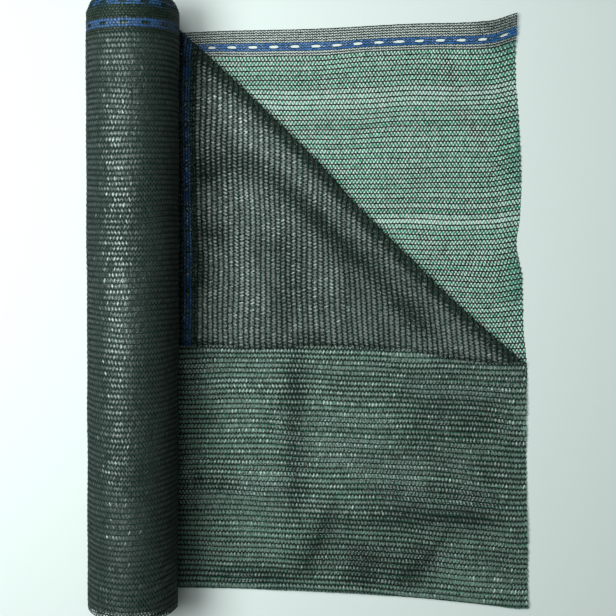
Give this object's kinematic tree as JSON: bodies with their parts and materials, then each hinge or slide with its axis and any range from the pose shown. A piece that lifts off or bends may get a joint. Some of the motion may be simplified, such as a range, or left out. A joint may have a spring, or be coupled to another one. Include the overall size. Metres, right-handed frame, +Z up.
{
  "type": "shade cloth roll",
  "caption": "Knitted shade cloth folded double on a roll lying on its side, with a free length laid flat and its top corner turned back.",
  "frame": {"origin": "middle of the whole, on the surface that the roll and the free length lie on", "axes": "+X from the roll to the cloth's cut end, +Y along the roll towards its selvedge end, +Z up"},
  "size_m": [0.7304, 1.0146, 0.1516],
  "materials": {
    "knit_wound": "dark green knitted plastic net, wound in many layers, slight sheen on the yarns",
    "knit_free": "dark green open knitted plastic net with a blue marker tape near each selvedge, slight sheen"
  },
  "bodies": {
    "root": {"roll": "knit_wound", "loose_end": "knit_free"}
  },
  "joints": []
}
